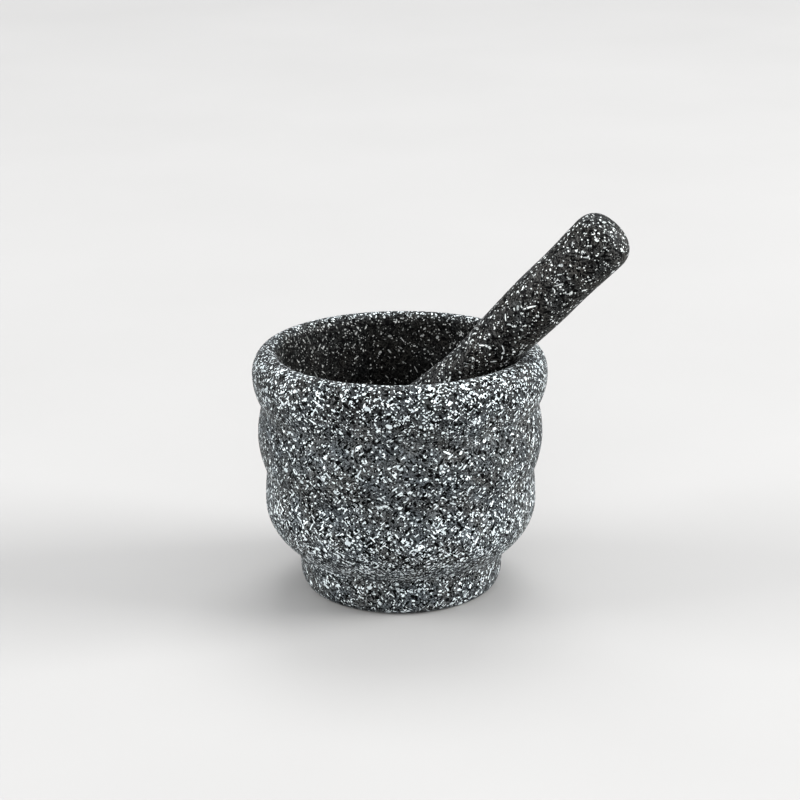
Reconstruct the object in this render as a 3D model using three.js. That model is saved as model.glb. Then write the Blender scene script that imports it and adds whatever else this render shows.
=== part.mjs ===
// A mortar and pestle in speckled stone, in millimetres, +Z up.
// The origin is the centre of the flat underside of the mortar's foot.
// The pestle leans in the bowl: its head touches the bowl's wall and its shaft rests on the rim.

import * as THREE from 'three';

// The mortar's outline, from the underside up the outside to the lip and down into the bowl:
// heights above the table, and radii about the Z axis.
const underside = { radius: 42.4, height: 0 };
const foot = { radius: 48.5, height: 10 };
const neck = { radius: 50.4, height: 19.3 };
const belly = { radius: 64.8, height: 43.7 };
const lowerGroove = { radius: 63.9, height: 58.5 };
const band = { radius: 67.8, height: 76.6 };
const upperGroove = { radius: 65.7, height: 90.9 };
const rim = { radius: 70, height: 106.2 };
const lip = { radius: 61.6, height: 118 };
const mouth = { radius: 57, height: 112 };
const bowl = { radius: 54, height: 82 };

// Above the neck the belly leaves outwards at this many millimetres for each one upwards.
const bellySpread = 1.3;

// The pestle's outline: distances from its tip, and radii about its own axis.
const tip = { radius: 17.2, height: 16 };
const head = { radius: 17, height: 32 };
const flare = { radius: 15.6, height: 56 };
const throat = { radius: 13.4, height: 78 };
const waist = { radius: 11.6, height: 98 };
const grip = { radius: 12.8, height: 120 };
const swelling = { radius: 13.8, height: 145 };
const shaft = { radius: 13.7, height: 165 };
const shoulder = { radius: 14.4, height: 186 };
const pestleLength = 197;

// How square the dome on the pestle's top end is: 0.55 would be an ellipse, 1 a flat end.
const domeSquareness = 0.7;

// The pestle leans outwards over the rim at this azimuth, this far above the horizontal. Its axis
// crosses the mortar's axis at crossingHeight, and its tip lies tipReach along the axis below that.
const leanAzimuth = THREE.MathUtils.degToRad(-18);
const leanElevation = THREE.MathUtils.degToRad(46.6);
const crossingHeight = 73.6;
const tipReach = 46.95;

const mortarSides = 60;
const pestleSides = 32;

function point(place) {
  return new THREE.Vector2(place.radius, place.height);
}

// A curve between two places that runs straight up at the one named last.
function bend(from, to, upright) {
  const corner = new THREE.Vector2(upright.radius, (from.height + to.height) / 2);
  return new THREE.QuadraticBezierCurve(point(from), corner, point(to));
}

// A quarter of an ellipse between two places, which is level at the one named last.
function quarter(from, to, level) {
  const upright = level === from ? to : from;
  const halfWidth = Math.abs(upright.radius - level.radius);
  const halfHeight = Math.abs(level.height - upright.height);
  const side = upright.radius > level.radius ? 0 : Math.PI;
  const end = level.height > upright.height ? Math.PI / 2 : (side ? 1.5 : -0.5) * Math.PI;
  const [start, stop] = level === from ? [end, side] : [side, end];
  return new THREE.EllipseCurve(
    level.radius, upright.height, halfWidth, halfHeight, start, stop, stop < start,
  );
}

// The belly's underside, from the neck out to the belly's widest place.
function bellyUnderside() {
  const third = (belly.height - neck.height) / 3;
  return new THREE.CubicBezierCurve(
    point(neck),
    new THREE.Vector2(neck.radius + bellySpread * third, neck.height + third),
    new THREE.Vector2(belly.radius, belly.height - third),
    point(belly),
  );
}

// The bowl's wall, upright at the mouth and where the round bottom begins.
function bowlWall() {
  const third = (mouth.height - bowl.height) / 3;
  return new THREE.CubicBezierCurve(
    point(mouth),
    new THREE.Vector2(mouth.radius, mouth.height - third),
    new THREE.Vector2(bowl.radius, bowl.height + third),
    point(bowl),
  );
}

// The dome on the pestle's top end, from its shoulder in to the axis.
function pestleDome() {
  const rise = pestleLength - shoulder.height;
  return new THREE.CubicBezierCurve(
    point(shoulder),
    new THREE.Vector2(shoulder.radius, shoulder.height + domeSquareness * rise),
    new THREE.Vector2(domeSquareness * shoulder.radius, pestleLength),
    new THREE.Vector2(0, pestleLength),
  );
}

// The points of an outline from one end on the axis to the other, each stretch in its own number
// of steps. Where two stretches meet, the shared point is kept once.
function outline(start, stretches, end) {
  const points = [point(start)];
  for (const [curve, steps] of stretches) {
    const isFirst = points.length === 1;
    const places = curve.getPoints(steps);
    points.push(...(isFirst && places[0].x > 1 ? places : places.slice(1)));
  }
  points[points.length - 1] = point(end);
  return points;
}

function mortarOutline() {
  const centre = { radius: 0, height: underside.height };
  const bottom = { radius: 0, height: bowl.height - bowl.radius };
  return outline(centre, [
    [quarter(underside, foot, underside), 5],
    [bend(foot, neck, foot), 2],
    [bellyUnderside(), 7],
    [bend(belly, lowerGroove, belly), 3],
    [bend(lowerGroove, band, band), 4],
    [bend(band, upperGroove, band), 4],
    [bend(upperGroove, rim, rim), 5],
    [quarter(rim, lip, lip), 7],
    [quarter(lip, mouth, lip), 5],
    [bowlWall(), 4],
    [quarter(bowl, bottom, bottom), 9],
  ], bottom);
}

function pestleOutline() {
  const end = { radius: 0, height: 0 };
  const side = [tip, head, flare, throat, waist, grip, swelling, shaft, shoulder].map(point);
  return outline(end, [
    [quarter(end, tip, end), 6],
    [new THREE.SplineCurve(side), 16],
    [pestleDome(), 6],
  ], { radius: 0, height: pestleLength });
}

// A solid of revolution about +Z.
function turned(name, points, sides, material) {
  const geometry = new THREE.LatheGeometry(points, sides);
  geometry.rotateX(Math.PI / 2);
  const mesh = new THREE.Mesh(geometry, material);
  mesh.name = name;
  return mesh;
}

const mortarStone = new THREE.MeshStandardMaterial({ color: 0x64686b, roughness: 0.5, metalness: 0 });
const pestleStone = new THREE.MeshStandardMaterial({ color: 0x4b4b4d, roughness: 0.5, metalness: 0 });

const mortar = turned('mortar', mortarOutline(), mortarSides, mortarStone);

const pestle = turned('pestle', pestleOutline(), pestleSides, pestleStone);
pestle.position.z = -tipReach;
const lean = new THREE.Group();
lean.position.z = crossingHeight;
lean.rotation.order = 'ZYX';
lean.rotation.set(0, Math.PI / 2 - leanElevation, leanAzimuth);
lean.add(pestle);

const group = new THREE.Group();
group.add(mortar, lean);

export default group;
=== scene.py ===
# A mortar and pestle in speckled stone, on a plain pale floor. Metres, +Z up.

import math

import bpy
import numpy as np
from mathutils import Euler, Matrix, Vector, noise


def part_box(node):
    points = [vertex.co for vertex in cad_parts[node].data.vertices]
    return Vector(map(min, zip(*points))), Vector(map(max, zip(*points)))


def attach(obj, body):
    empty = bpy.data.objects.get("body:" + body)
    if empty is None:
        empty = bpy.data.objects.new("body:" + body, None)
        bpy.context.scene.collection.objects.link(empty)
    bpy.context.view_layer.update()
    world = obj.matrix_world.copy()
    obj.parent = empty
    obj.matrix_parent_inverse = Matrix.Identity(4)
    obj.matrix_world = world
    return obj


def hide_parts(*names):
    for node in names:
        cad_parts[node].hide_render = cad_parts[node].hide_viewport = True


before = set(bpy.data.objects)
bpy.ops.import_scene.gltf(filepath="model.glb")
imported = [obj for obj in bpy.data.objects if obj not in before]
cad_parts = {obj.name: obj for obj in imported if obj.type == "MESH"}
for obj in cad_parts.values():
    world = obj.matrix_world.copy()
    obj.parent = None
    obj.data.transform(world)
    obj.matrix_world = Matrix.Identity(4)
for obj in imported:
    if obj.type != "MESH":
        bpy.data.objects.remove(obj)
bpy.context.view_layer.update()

MM = 0.001

# The outlines' places in millimetres, as on the CAD solids: (radius, height) on the mortar. The rim's
# radius and the mortar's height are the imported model's own.
mortar_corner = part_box("mortar")[1]
UNDERSIDE = (42.4, 0)
FOOT = (48.5, 10)
NECK = (50.4, 19.3)
BELLY = (64.8, 43.7)
LOWER_GROOVE = (63.9, 58.5)
BAND = (67.8, 76.6)
UPPER_GROOVE = (65.7, 90.9)
RIM = (mortar_corner[0] / MM, 106.2)
LIP = (61.6, mortar_corner[2] / MM)
MOUTH = (57, 112)
BOWL = (54, 82)

# Above the neck the belly leaves outwards at this many millimetres for each one upwards.
BELLY_SPREAD = 1.3

# (radius, distance from the tip) on the pestle, in millimetres.
TIP = (17.2, 16)
SHOULDER = (14.4, 186)
PESTLE_SIDE = [
    TIP, (17, 32), (15.6, 56), (13.4, 78), (11.6, 98),
    (12.8, 120), (13.8, 145), (13.7, 165), SHOULDER,
]
PESTLE_LENGTH = 197

# How square the dome on the pestle's top end is: 0.55 would be an ellipse, 1 a flat end.
DOME_SQUARENESS = 0.7

# How the pestle leans, as in the CAD model. Its axis crosses the mortar's axis at one height, and its
# tip lies some way along its axis below that, in millimetres.
LEAN_AZIMUTH = math.radians(-18)
LEAN_ELEVATION = math.radians(46.6)
CROSSING_HEIGHT = 73.6
TIP_REACH = 46.95

# Fineness of the visible meshes, and the steps in one curve of an outline.
MORTAR_SIDES = 320
MORTAR_RINGS = 285
PESTLE_SIDES = 112
PESTLE_RINGS = 230
CURVE_STEPS = 40

# How far the creases of the outlines are rounded and how uneven the surfaces are, in millimetres,
# and the seeds of the unevenness.
MORTAR_ROUNDING = 0.8
PESTLE_ROUNDING = 0.5
MORTAR_UNEVENNESS = 0.12
PESTLE_UNEVENNESS = 0.1
MORTAR_SEED = 3.7
PESTLE_SEED = 8.2

# An outline is rounded on points this far apart, by an average out to this many reaches.
ROUNDING_GAP = 0.15
ROUNDING_TAIL = 3

# How densely the rings lie: on a straight stretch, what each radian of bend in a millimetre adds, and
# the most that it may be.
RING_DENSITY = (0.35, 6, 3)

# The unevenness is two waves: (width in millimetres, share). It begins this far above the lowest
# point and is whole this much higher, in millimetres, so that the foot stands flat.
WIDE_WAVE = (26, 0.7)
NARROW_WAVE = (7, 0.3)
UNEVEN_ABOVE = 0.5
UNEVEN_RISE = 3

# Chips that lie every way. Of the cells, this many millimetres wide, a share holds a chip each, which
# reaches up to half its length and half its width from its middle: (cell, (half, half), share, seed).
SMALL_WHITE_CHIPS = [
    (1.1, (0.58, 0.38), 0.32, 21),
    (1.8, (1.0, 0.56), 0.38, 22),
]
LARGE_WHITE_CHIPS = [
    (2.7, (1.4, 0.82), 0.36, 23),
    (4.8, (2.0, 1.2), 0.28, 41),
]
BLACK_CHIPS = [
    (1.3, (0.8, 0.5), 0.66, 10),
    (2.8, (1.6, 0.95), 0.36, 11),
]

# Long chips that lie in the surface. The cells are long and narrow and slant by some degrees, and a
# chip's radius is in cells: ((cell length, cell width), slant, share, radius, seed).
WHITE_NEEDLES = [
    ((7, 1.6), 42, 0.42, 0.30, 31),
    ((6, 1.7), -50, 0.42, 0.30, 32),
    ((17, 2.2), 60, 0.42, 0.22, 33),
    ((15, 2.4), -28, 0.42, 0.22, 34),
]
BLACK_NEEDLES = [
    ((6.5, 1.9), 45, 0.60, 0.34, 12),
    ((5.5, 2.0), -52, 0.60, 0.34, 13),
]

# How soft the chips' edges are, as a share of their reach or of a cell, the size of the smallest
# chip beside the largest of its kind, and how far a chip may be turned, in radians.
CHIP_EDGE = 0.06
NEEDLE_EDGE = 0.03
SMALLEST_CHIP = 0.55
CHIP_TURN = 50.0

# How far one unit of seed moves a pattern, in metres.
SEED_STEP = (0.013, 0.007, 0.019)

# The middle of the values that a random colour has.
MIDDLE = (0.5, 0.5, 0.5)

# How the chips' places wander, in millimetres: (size of the wander, amount).
CHIP_WANDER = (1.6, 0.5)
NEEDLE_WANDER = (5, 1.1)

# The ground between the chips. Its grains vary from dark to light, more of them dark. Its patches
# and its drift in hue are (size in millimetres, lowest and highest value of their noise).
GRAIN_SIZE = 0.6
GRAIN_POWER = 1.5
PATCHES = (8, 0.3, 0.7)
PATCH_SHADES = (0.6, 1.25)
DRIFT = (13, 0.35, 0.65)
WARM = (1.03, 0.995, 0.95)
COOL = (0.95, 1.0, 1.03)

# The polished surface. The pores' size and the relief's depth are in millimetres, pores and chips
# take up these shares of that depth, and roughness is (ground, white chips).
PORE_SIZE = 0.45
RELIEF_DEPTH = 0.12
RELIEF_STRENGTH = 0.35
PORE_SHARE = 0.5
CHIP_SHARE = 0.3
GLOSS = 0.05
MORTAR_ROUGHNESS = (0.5, 0.38)
PESTLE_ROUGHNESS = (0.45, 0.36)

# Colours: the black chips', and pairs of dark and light that the stone and the floor vary between.
# On the rim the outer ground's light colour is RIM_LIGHT. The bowl's darker pairs are painted shade.
BLACK = (0.002, 0.002, 0.0022)
OUTER_GROUND = ((0.014, 0.0147, 0.015), (0.16, 0.171, 0.178))
RIM_LIGHT = (0.096, 0.102, 0.106)
SHADED_BOWL_GROUND = (BLACK, (0.036, 0.036, 0.034))
OUTER_WHITE = ((0.43, 0.475, 0.49), (0.76, 0.82, 0.83))
SHADED_BOWL_WHITE = ((0.12, 0.125, 0.12), (0.40, 0.41, 0.40))
PESTLE_GROUND = ((0.005, 0.005, 0.005), (0.082, 0.082, 0.080))
PESTLE_WHITE = ((0.30, 0.32, 0.32), (0.80, 0.84, 0.83))
FLOOR_SHADES = ((0.34, 0.336, 0.33), (0.37, 0.366, 0.36))

# Where the mortar's stone changes, in millimetres: from the bowl's wall, in painted shade, to the
# outside by the distance from the middle of the bowl, and the others by height.
BOWL_SHADE_TO_OUTSIDE = (57.5, 60.5)
BODY_TO_RIM = (UPPER_GROOVE[1], RIM[1])
BODY_TO_UNDERSIDE = (60, 36)
FOOT_TO_UNDERSIDE = (16, 20)
UPPER_TO_LOWER = (75, 45)

# How dense the white chips are. Both small and large ones are denser on the rim and under the belly
# and sparser in the bowl, as painted shade. Under the belly the added chips are partly real, partly
# painted bounce light from the floor. The large ones go from their density high up to that low down.
UNDERSIDE_CHIPS_AND_BOUNCE = 0.9
SMALL_DENSITY = 0.82
SMALL_IN_SHADED_BOWL = 0.65
LARGE_DENSITY = (0.75, 1.3)
LARGE_EXTRA = 0.4
LARGE_IN_SHADED_BOWL = 0.3
PESTLE_SMALL_DENSITY = 0.92
PESTLE_LARGE_DENSITY = 0.40

# The area lights: (name, place, side, power), in metres and watts. They all face the object.
LIGHTS = [
    ("light_right", (4.5, -0.3, 1.9), 2.7, 340),
    ("light_left", (-4.5, -0.3, 1.9), 2.7, 185),
    ("light_back", (0.3, 2.7, 4.5), 2.7, 108),
    ("light_front", (-0.9, -5.7, 2.1), 3.6, 180),
    ("light_ceiling", (0, 0, 6.4), 12, 320),
]
LIT_PLACE = (0, 0, 0.08)
SKY_COLOUR = (0.93, 0.95, 1.0)
SKY_STRENGTH = 0.42

# The floor's side is in metres, and the size of its mottling in millimetres.
FLOOR_SIDE = 30
MOTTLE_SIZE = 250
FLOOR_ROUGHNESS = 0.7

# The camera's place and reach are in metres, and its lens in millimetres.
CAMERA_PLACE = (0, -1.0904, 0.4411)
CAMERA_PITCH = math.radians(-17.78)
CAMERA_ROLL = math.radians(-0.466)
CAMERA_LENS = 108.3
CAMERA_REACH = 50


# ---------------------------------------------------------------- outlines

def bezier(*places):
    """Points of a Bezier curve of any degree."""
    t = np.linspace(0, 1, CURVE_STEPS + 1)[:, None]
    layer = [np.array(place, float) * np.ones_like(t) for place in places]
    while len(layer) > 1:
        layer = [a * (1 - t) + b * t for a, b in zip(layer, layer[1:])]
    return layer[0]


def bend(start, end, upright):
    """A curve between two places that runs straight up at the one named last."""
    return bezier(start, (upright[0], (start[1] + end[1]) / 2), end)


def quarter(start, end, level):
    """A quarter of an ellipse between two places, level at the one named last."""
    upright = end if level == start else start
    t = np.linspace(0, math.pi / 2, CURVE_STEPS + 1)
    if level == start:
        t = t[::-1]
    radius = level[0] + (upright[0] - level[0]) * np.cos(t)
    height = upright[1] + (level[1] - upright[1]) * np.sin(t)
    return np.stack([radius, height], axis=1)


def spline(places):
    """A Catmull-Rom curve through places."""
    p = np.array([places[0], *places, places[-1]], float)
    t = np.linspace(0, 1, CURVE_STEPS, endpoint=False)[:, None]
    parts = []
    for a, b, c, d in zip(p, p[1:], p[2:], p[3:]):
        slope_b = (c - a) / 2
        slope_c = (d - b) / 2
        parts.append(
            b + slope_b * t
            + (3 * (c - b) - 2 * slope_b - slope_c) * t ** 2
            + (2 * (b - c) + slope_b + slope_c) * t ** 3
        )
    return np.concatenate([*parts, p[-1:]])


def along(points):
    """Distance along a line of points, from its start."""
    return np.concatenate([[0], np.cumsum(np.linalg.norm(np.diff(points, axis=0), axis=1))])


def at_marks(points, run, marks):
    """The places at some distances along a line of points."""
    return np.stack([np.interp(marks, run, points[:, k]) for k in (0, 1)], axis=1)


def softened(points, reach):
    """The outline with its creases rounded: each point is averaged with its neighbours in a bell
    curve of this reach."""
    run = along(points)
    line = at_marks(points, run, np.linspace(0, run[-1], int(run[-1] / ROUNDING_GAP) + 1))
    count = int(ROUNDING_TAIL * reach / ROUNDING_GAP)
    weights = np.exp(-0.5 * (np.arange(-count, count + 1) * ROUNDING_GAP / reach) ** 2)
    weights /= weights.sum()
    # Past its ends the outline goes on as its own mirror image in the axis.
    mirrored_start = line[count:0:-1] * [-1, 1]
    mirrored_end = line[-2:-count - 2:-1] * [-1, 1]
    padded = np.concatenate([mirrored_start, line, mirrored_end])
    soft = np.stack([np.convolve(padded[:, k], weights, mode="valid") for k in (0, 1)], axis=1)
    soft[0, 0] = soft[-1, 0] = 0
    return soft


def thinned(points, count):
    """The outline in count points, closest together where it bends most."""
    run = along(points)
    step = np.gradient(points, run, axis=0)
    turn = np.abs(np.gradient(np.unwrap(np.arctan2(step[:, 1], step[:, 0])), run))
    least, growth, most = RING_DENSITY
    density = np.minimum(least + growth * turn, most)
    spread = np.concatenate([[0], np.cumsum((density[1:] + density[:-1]) / 2 * np.diff(run))])
    return at_marks(points, run, np.interp(np.linspace(0, spread[-1], count), spread, run))


def end_to_end(*stretches):
    """One outline from several, with the point that two share kept once."""
    return np.concatenate([stretches[0], *[stretch[1:] for stretch in stretches[1:]]])


def mortar_outline():
    """From the middle of the underside, up the outside, over the lip and down to the bowl's floor."""
    third = (BELLY[1] - NECK[1]) / 3
    wall_third = (MOUTH[1] - BOWL[1]) / 3
    bowl_floor = (0, BOWL[1] - BOWL[0])
    above_neck = (NECK[0] + BELLY_SPREAD * third, NECK[1] + third)
    below_belly = (BELLY[0], BELLY[1] - third)
    below_mouth = (MOUTH[0], MOUTH[1] - wall_third)
    above_bowl = (BOWL[0], BOWL[1] + wall_third)
    return end_to_end(
        bezier((0, 0), UNDERSIDE),
        quarter(UNDERSIDE, FOOT, UNDERSIDE),
        bend(FOOT, NECK, FOOT),
        bezier(NECK, above_neck, below_belly, BELLY),
        bend(BELLY, LOWER_GROOVE, BELLY),
        bend(LOWER_GROOVE, BAND, BAND),
        bend(BAND, UPPER_GROOVE, BAND),
        bend(UPPER_GROOVE, RIM, RIM),
        quarter(RIM, LIP, LIP),
        quarter(LIP, MOUTH, LIP),
        bezier(MOUTH, below_mouth, above_bowl, BOWL),
        quarter(BOWL, bowl_floor, bowl_floor),
    )


def pestle_outline():
    """From the tip of the grinding head to the top of the dome."""
    above_shoulder = (SHOULDER[0], SHOULDER[1] + DOME_SQUARENESS * (PESTLE_LENGTH - SHOULDER[1]))
    beside_top = (DOME_SQUARENESS * SHOULDER[0], PESTLE_LENGTH)
    return end_to_end(
        quarter((0, 0), TIP, (0, 0)),
        spline(PESTLE_SIDE),
        bezier(SHOULDER, above_shoulder, beside_top, (0, PESTLE_LENGTH)),
    )


# ---------------------------------------------------------------- meshes

def uneven(place, seed):
    """The slight unevenness of a hand-finished surface at a place, from about -1 to 1."""
    wide = noise.noise(place / (WIDE_WAVE[0] * MM) + Vector((seed, 0, 0)))
    narrow = noise.noise(place / (NARROW_WAVE[0] * MM) + Vector((0, seed, 0)))
    return wide * WIDE_WAVE[1] + narrow * NARROW_WAVE[1]


def surface_points(outline, sides, depth, seed):
    """The outline's points turned about +Z, moved in and out by up to depth millimetres. The ends lie
    on the axis, and nothing moves at height 0."""
    slope = np.gradient(outline, along(outline), axis=0)
    slope /= np.linalg.norm(slope, axis=1)[:, None]
    angles = np.linspace(0, 2 * math.pi, sides, endpoint=False)
    points = [Vector((0, 0, outline[0][1] * MM))]
    for (radius, height), (along_radius, along_height) in zip(outline[1:-1], slope[1:-1]):
        free = min(max((height - UNEVEN_ABOVE) / UNEVEN_RISE, 0), 1)
        for angle in angles:
            c = math.cos(angle)
            s = math.sin(angle)
            place = Vector((radius * c, radius * s, height)) * MM
            outward = Vector((along_height * c, along_height * s, -along_radius))
            points.append(place + outward * (depth * free * uneven(place, seed) * MM))
    points.append(Vector((0, 0, outline[-1][1] * MM)))
    return points


def surface_faces(rings, sides):
    """Quads between the rings, and triangles from the first and last ring to the ends."""
    last = rings * sides + 1
    faces = []
    for j in range(sides):
        k = (j + 1) % sides
        faces.append((0, 1 + k, 1 + j))
        for i in range(rings - 1):
            a = 1 + i * sides
            b = a + sides
            faces.append((a + j, a + k, b + k, b + j))
        faces.append((last - sides + j, last - sides + k, last))
    return faces


def turned(name, outline, sides, depth, seed):
    """A solid of revolution about +Z with a slightly uneven surface."""
    mesh = bpy.data.meshes.new(name)
    points = surface_points(outline, sides, depth, seed)
    mesh.from_pydata(points, [], surface_faces(len(outline) - 2, sides))
    mesh.validate()
    mesh.shade_smooth()
    piece = bpy.data.objects.new(name, mesh)
    bpy.context.scene.collection.objects.link(piece)
    return piece


def lean_matrix():
    """Takes the pestle from standing on its tip at the origin to where it leans in the bowl."""
    turn = Euler((0, math.pi / 2 - LEAN_ELEVATION, LEAN_AZIMUTH)).to_matrix().to_4x4()
    up = Matrix.Translation((0, 0, CROSSING_HEIGHT * MM))
    down = Matrix.Translation((0, 0, -TIP_REACH * MM))
    return up @ turn @ down


# ---------------------------------------------------------------- nodes

class Tree:
    """A material's nodes, each made in one call. An input is a number, a tuple or a node's output."""

    def __init__(self, name):
        self.material = bpy.data.materials.new(name)
        self.material.use_nodes = True
        self.nodes = self.material.node_tree.nodes
        self.links = self.material.node_tree.links
        self.nodes.clear()

    def add(self, kind, inputs, **settings):
        """A node of some kind with its inputs and settings."""
        node = self.nodes.new(kind)
        for key, value in settings.items():
            setattr(node, key, value)
        for key, value in inputs.items():
            if isinstance(value, bpy.types.NodeSocket):
                self.links.new(value, node.inputs[key])
            else:
                node.inputs[key].default_value = value
        return node

    def math(self, operation, a, b=0.0):
        """One step of arithmetic."""
        return self.add("ShaderNodeMath", {0: a, 1: b}, operation=operation).outputs[0]

    def ranged(self, value, low, high, to_low=0.0, to_high=1.0, shape="LINEAR"):
        """to_low where the value is low, to_high where it is high, and in between on the way."""
        inputs = {
            "Value": value, "From Min": low, "From Max": high, "To Min": to_low, "To Max": to_high,
        }
        node = self.add("ShaderNodeMapRange", inputs, interpolation_type=shape)
        return node.outputs["Result"]

    def across(self, value, ends, to_low=0.0, to_high=1.0):
        """ranged() between two places given in millimetres."""
        return self.ranged(value, ends[0] * MM, ends[1] * MM, to_low, to_high)

    def mix(self, share, below, above, blend_type="MIX"):
        """The colour below where share is 0, and above where it is 1. Inputs 6 and 7 and output 2 are
        the node's colour sockets."""
        inputs = {0: share, 6: self.colour(below), 7: self.colour(above)}
        node = self.add("ShaderNodeMix", inputs, data_type="RGBA", blend_type=blend_type)
        return node.outputs[2]

    def colour(self, value):
        """A colour as a socket takes it."""
        return value if isinstance(value, bpy.types.NodeSocket) else (*value, 1.0)

    def noise(self, place, size, detail=2.0, output="Fac"):
        """Smooth noise with waves of this size in millimetres."""
        inputs = {"Vector": place, "Scale": 1 / (size * MM), "Detail": detail}
        return self.add("ShaderNodeTexNoise", inputs).outputs[output]

    def cells(self, place, size):
        """Irregular cells of this size, in the units of place."""
        return self.add("ShaderNodeTexVoronoi", {"Vector": place, "Scale": 1 / size})

    def vector(self, operation, a, b):
        """A sum, difference or product of places, or a place times a number for SCALE."""
        key = "Scale" if operation == "SCALE" else 1
        return self.add("ShaderNodeVectorMath", {0: a, key: b}, operation=operation).outputs[0]

    def length(self, a):
        """How far a place is from the origin."""
        return self.add("ShaderNodeVectorMath", {0: a}, operation="LENGTH").outputs[1]

    def split(self, a):
        """The x, y and z of a place."""
        return self.add("ShaderNodeSeparateXYZ", {0: a}).outputs

    def point(self, x, y, z=0.0):
        """The place at this x, y and z."""
        return self.add("ShaderNodeCombineXYZ", {0: x, 1: y, 2: z}).outputs[0]

    def lots(self, cells):
        """Three random numbers for the cell."""
        return self.add("ShaderNodeSeparateColor", {0: cells.outputs["Color"]}).outputs

    def jittered(self, place, size, amount):
        """The place moved about by up to half of amount, so that chips lose their regular outlines."""
        wander = self.vector("SUBTRACT", self.noise(place, size, output="Color"), MIDDLE)
        return self.vector("ADD", place, self.vector("SCALE", wander, amount * MM))

    def finished(self, shader, inputs):
        """The material, with a shader of this kind on its output."""
        self.add("ShaderNodeOutputMaterial", {"Surface": self.add(shader, inputs).outputs[0]})
        return self.material


# ---------------------------------------------------------------- stone

def present(tree, lot, share):
    """A chip's size beside the largest of its kind, or less than 0 where its lot gives no chip."""
    least = tree.math("SUBTRACT", 1.0, share)
    size = tree.ranged(lot, least, 1.0, SMALLEST_CHIP, 1.0)
    twice_or_none = tree.math("MULTIPLY", tree.math("GREATER_THAN", lot, least), 2.0)
    return tree.math("SUBTRACT", tree.math("MULTIPLY", size, twice_or_none), size)


def seed_shift(seed):
    """How far a pattern is moved, so that no two kinds of chips share their cells."""
    return tuple(seed * step for step in SEED_STEP)


def chips(tree, place, cell, half, share, seed, density=1.0):
    """One kind of chips. density scales the share of cells that hold one.
    Returns a mask, 1 inside a chip, and a random number for each chip."""
    moved = tree.vector("ADD", place, seed_shift(seed))
    cells = tree.cells(moved, cell * MM)
    lots = tree.lots(cells)
    local = tree.vector("SUBTRACT", moved, cells.outputs["Position"])
    turn = {
        "Vector": local,
        "Axis": tree.vector("SUBTRACT", cells.outputs["Color"], MIDDLE),
        "Angle": tree.math("MULTIPLY", lots[1], CHIP_TURN),
    }
    turned_local = tree.add("ShaderNodeVectorRotate", turn).outputs[0]
    inverse = (1 / (half[0] * MM), 1 / (half[1] * MM), 1 / (half[1] * MM))
    reach = tree.length(tree.vector("MULTIPLY", turned_local, inverse))
    limit = present(tree, lots[0], tree.math("MULTIPLY", density, share))
    inside = tree.math("SUBTRACT", limit, reach)
    return tree.ranged(inside, 0.0, CHIP_EDGE, shape="SMOOTHSTEP"), lots[2]


def needles(tree, wrapped, cell, slant, share, radius, seed, density=1.0):
    """One kind of long chips, as chips() gives them."""
    framing = {
        "Vector": wrapped,
        "Location": seed_shift(seed),
        "Rotation": (0, 0, math.radians(slant)),
        "Scale": (cell[0] * MM, cell[1] * MM, cell[1] * MM),
    }
    framed = tree.add("ShaderNodeMapping", framing, vector_type="TEXTURE").outputs[0]
    cells = tree.cells(framed, 1.0)
    lots = tree.lots(cells)
    size = present(tree, lots[0], tree.math("MULTIPLY", density, share))
    inside = tree.math("SUBTRACT", tree.math("MULTIPLY", size, radius), cells.outputs["Distance"])
    return tree.ranged(inside, 0.0, NEEDLE_EDGE, shape="SMOOTHSTEP"), lots[1]


def wrapped_place(tree, local, radius):
    """The place on the surface of a turned piece rolled out flat: how far round from the front it is,
    how high it is and how far out it is."""
    x, y, z = tree.split(local)
    angle = tree.math("ARCTAN2", x, tree.math("MULTIPLY", y, -1.0))
    out = tree.length(tree.point(x, y))
    return tree.point(tree.math("MULTIPLY", angle, radius * MM), z, out)


def grain(tree, place, rough_place, ground):
    """The fine ground between the chips, from the dark colour of ground to the light one, with paler
    and darker patches and a slight drift from warm to cool."""
    lot = tree.lots(tree.cells(rough_place, GRAIN_SIZE * MM))[0]
    size, low, high = PATCHES
    patches = tree.ranged(tree.noise(place, size, detail=3.0), low, high, *PATCH_SHADES)
    lightness = tree.math("MULTIPLY", tree.math("POWER", lot, GRAIN_POWER), patches)
    colour = tree.mix(lightness, *ground)
    size, low, high = DRIFT
    tint = tree.mix(tree.ranged(tree.noise(place, size), low, high), WARM, COOL)
    return tree.mix(1.0, colour, tint, "MULTIPLY")


def stone(tree, place, wrapped, ground, white, small, large):
    """Stone of fine grain with white chips, and black chips over them. ground and white are (dark,
    light) pairs of colours. small and large scale how many small and large white chips there are.
    Returns colour and whiteness."""
    rough_place = tree.jittered(place, *CHIP_WANDER)
    rough_wrapped = tree.jittered(wrapped, *NEEDLE_WANDER)
    pale = [chips(tree, rough_place, *kind, small) for kind in SMALL_WHITE_CHIPS]
    pale += [chips(tree, rough_place, *kind, large) for kind in LARGE_WHITE_CHIPS]
    pale += [needles(tree, rough_wrapped, *kind, large) for kind in WHITE_NEEDLES]
    black = [chips(tree, rough_place, *kind) for kind in BLACK_CHIPS]
    black += [needles(tree, rough_wrapped, *kind) for kind in BLACK_NEEDLES]

    colour = grain(tree, place, rough_place, ground)
    whiteness = 0.0
    for mask, lot in pale:
        colour = tree.mix(mask, colour, tree.mix(lot, *white))
        whiteness = tree.math("MAXIMUM", mask, whiteness)
    for mask, _ in black:
        colour = tree.mix(mask, colour, BLACK)
    return colour, whiteness


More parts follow.
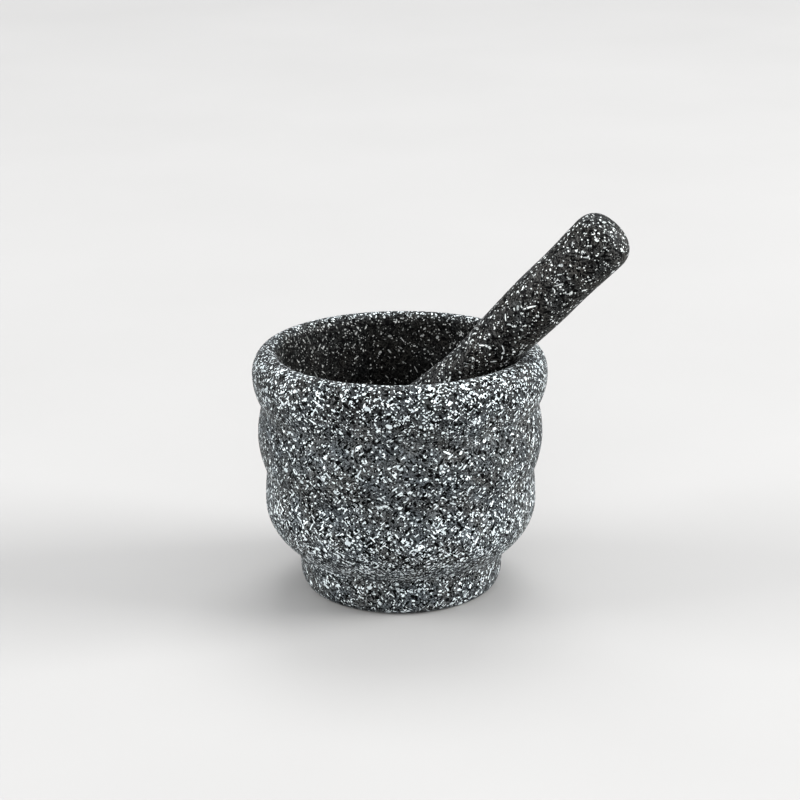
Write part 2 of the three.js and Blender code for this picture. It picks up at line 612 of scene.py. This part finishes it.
def satin(tree, place, colour, whiteness, roughness):
    """The polished surface of the stone, with fine pores, and white chips that stand a hair proud."""
    pores = tree.math("MULTIPLY", tree.noise(place, PORE_SIZE), PORE_SHARE)
    relief = {
        "Height": tree.math("ADD", pores, tree.math("MULTIPLY", whiteness, CHIP_SHARE)),
        "Strength": RELIEF_STRENGTH,
        "Distance": RELIEF_DEPTH * MM,
    }
    return tree.finished("ShaderNodeBsdfPrincipled", {
        "Base Color": colour,
        "Roughness": tree.ranged(whiteness, 0, 1, *roughness),
        "Specular IOR Level": GLOSS,
        "Normal": tree.add("ShaderNodeBump", relief).outputs[0],
    })


def mortar_stone():
    """White chips are densest on the rim and under the belly, partly as painted bounce light there.
    The bowl has painted shade: it is dark and has few, dim chips.
    """
    tree = Tree("mortar_stone")
    place = tree.add("ShaderNodeTexCoord", {}).outputs["Object"]
    x, y, z = tree.split(place)
    below_bowl = tree.math("MINIMUM", tree.math("SUBTRACT", z, BOWL[1] * MM), 0.0)
    # Inside the bowl the stone gets painted shade: darker ground, dimmer white chips and fewer of
    # them.
    outside = tree.across(tree.length(tree.point(x, y, below_bowl)), BOWL_SHADE_TO_OUTSIDE)
    on_rim = tree.across(z, BODY_TO_RIM)
    under_belly = tree.across(z, BODY_TO_UNDERSIDE)
    above_foot = tree.across(z, FOOT_TO_UNDERSIDE)
    # Under the belly the added white chips are partly real and partly painted bounce light from the
    # floor.
    underside_and_bounce = tree.math("MULTIPLY", under_belly, above_foot)
    extra_chips_and_bounce = tree.math("ADD", on_rim, tree.math("MULTIPLY", underside_and_bounce, UNDERSIDE_CHIPS_AND_BOUNCE))

    small = tree.math("ADD", extra_chips_and_bounce, SMALL_DENSITY)
    # Here and for the large chips below, fewer white chips in the bowl are painted shade.
    small = tree.math("MULTIPLY", small, tree.ranged(outside, 0, 1, SMALL_IN_SHADED_BOWL, 1.0))
    by_height = tree.across(z, UPPER_TO_LOWER, *LARGE_DENSITY)
    large = tree.math("ADD", tree.math("MULTIPLY", extra_chips_and_bounce, LARGE_EXTRA), by_height)
    large = tree.math("MULTIPLY", large, tree.ranged(outside, 0, 1, LARGE_IN_SHADED_BOWL, 1.0))

    outer_dark, outer_light = OUTER_GROUND
    outer_ground = (outer_dark, tree.mix(on_rim, outer_light, RIM_LIGHT))
    # Painted shade in the bowl: its ground and white chips are darker than outside.
    ground = [tree.mix(outside, *pair) for pair in zip(SHADED_BOWL_GROUND, outer_ground)]
    white = [tree.mix(outside, *pair) for pair in zip(SHADED_BOWL_WHITE, OUTER_WHITE)]
    wrapped = wrapped_place(tree, place, BELLY[0])
    colour, whiteness = stone(tree, place, wrapped, ground, white, small, large)
    return satin(tree, place, colour, whiteness, MORTAR_ROUGHNESS)


def pestle_stone():
    """Darker stone with fewer large chips, laid out in the pestle's own upright frame."""
    tree = Tree("pestle_stone")
    place = tree.add("ShaderNodeTexCoord", {}).outputs["Object"]
    lean = lean_matrix()
    leaning = {
        "Vector": place,
        "Location": tuple(lean.translation),
        "Rotation": tuple(lean.to_euler()),
    }
    local = tree.add("ShaderNodeMapping", leaning, vector_type="TEXTURE").outputs[0]
    wrapped = wrapped_place(tree, local, SHOULDER[0])
    densities = (PESTLE_SMALL_DENSITY, PESTLE_LARGE_DENSITY)
    colour, whiteness = stone(tree, local, wrapped, PESTLE_GROUND, PESTLE_WHITE, *densities)
    return satin(tree, place, colour, whiteness, PESTLE_ROUGHNESS)


# ---------------------------------------------------------------- stage

def floor_material():
    """Plain pale ground with the faintest mottling."""
    tree = Tree("pale_floor")
    place = tree.add("ShaderNodeTexCoord", {}).outputs["Object"]
    mottle = tree.noise(place, MOTTLE_SIZE, detail=3.0)
    return tree.finished("ShaderNodeBsdfPrincipled", {
        "Base Color": tree.mix(mottle, *FLOOR_SHADES),
        "Roughness": FLOOR_ROUGHNESS,
    })


def make_floor():
    bpy.ops.mesh.primitive_plane_add(size=FLOOR_SIDE)
    floor = bpy.context.object
    floor.name = "floor"
    floor.data.materials.append(floor_material())


def soft_light(name, place, side, power):
    """A square area light that faces the object."""
    light = bpy.data.lights.new(name, "AREA")
    light.shape = "SQUARE"
    light.size = side
    light.energy = power
    lamp = bpy.data.objects.new(name, light)
    lamp.location = place
    aim = Vector(LIT_PLACE) - Vector(place)
    lamp.rotation_euler = aim.to_track_quat("-Z", "Y").to_euler()
    bpy.context.scene.collection.objects.link(lamp)


def make_world():
    """Even light from all round, and a view with a little more contrast than the standard one."""
    world = bpy.data.worlds.new("studio")
    world.use_nodes = True
    background = world.node_tree.nodes["Background"]
    background.inputs["Color"].default_value = (*SKY_COLOUR, 1.0)
    background.inputs["Strength"].default_value = SKY_STRENGTH
    bpy.context.scene.world = world
    bpy.context.scene.view_settings.view_transform = "Standard"
    bpy.context.scene.view_settings.look = "Medium High Contrast"


def make_camera():
    """Seen from the front, a little above, with the frame tipped by half a degree."""
    data = bpy.data.cameras.new("camera")
    data.lens = CAMERA_LENS
    data.clip_end = CAMERA_REACH
    camera = bpy.data.objects.new("camera", data)
    camera.location = CAMERA_PLACE
    tilt = Matrix.Rotation(math.pi / 2 + CAMERA_PITCH, 3, "X")
    roll = Matrix.Rotation(CAMERA_ROLL, 3, "Z")
    camera.rotation_euler = (tilt @ roll).to_euler()
    bpy.context.scene.collection.objects.link(camera)
    bpy.context.scene.camera = camera


# ---------------------------------------------------------------- the object

def make_mortar():
    outline = thinned(softened(mortar_outline(), MORTAR_ROUNDING), MORTAR_RINGS)
    outline[:, 1] = np.maximum(outline[:, 1], 0)  # nothing lies below the underside
    mortar = turned("stone_mortar", outline, MORTAR_SIDES, MORTAR_UNEVENNESS, MORTAR_SEED)
    mortar.data.materials.append(mortar_stone())
    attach(mortar, "mortar")
    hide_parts("mortar")


def make_pestle():
    outline = thinned(softened(pestle_outline(), PESTLE_ROUNDING), PESTLE_RINGS)
    pestle = turned("stone_pestle", outline, PESTLE_SIDES, PESTLE_UNEVENNESS, PESTLE_SEED)
    pestle.data.transform(lean_matrix())
    pestle.data.materials.append(pestle_stone())
    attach(pestle, "pestle")
    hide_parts("pestle")


make_camera()
make_world()
for name, place, side, power in LIGHTS:
    soft_light(name, place, side, power)
make_floor()
make_mortar()
make_pestle()
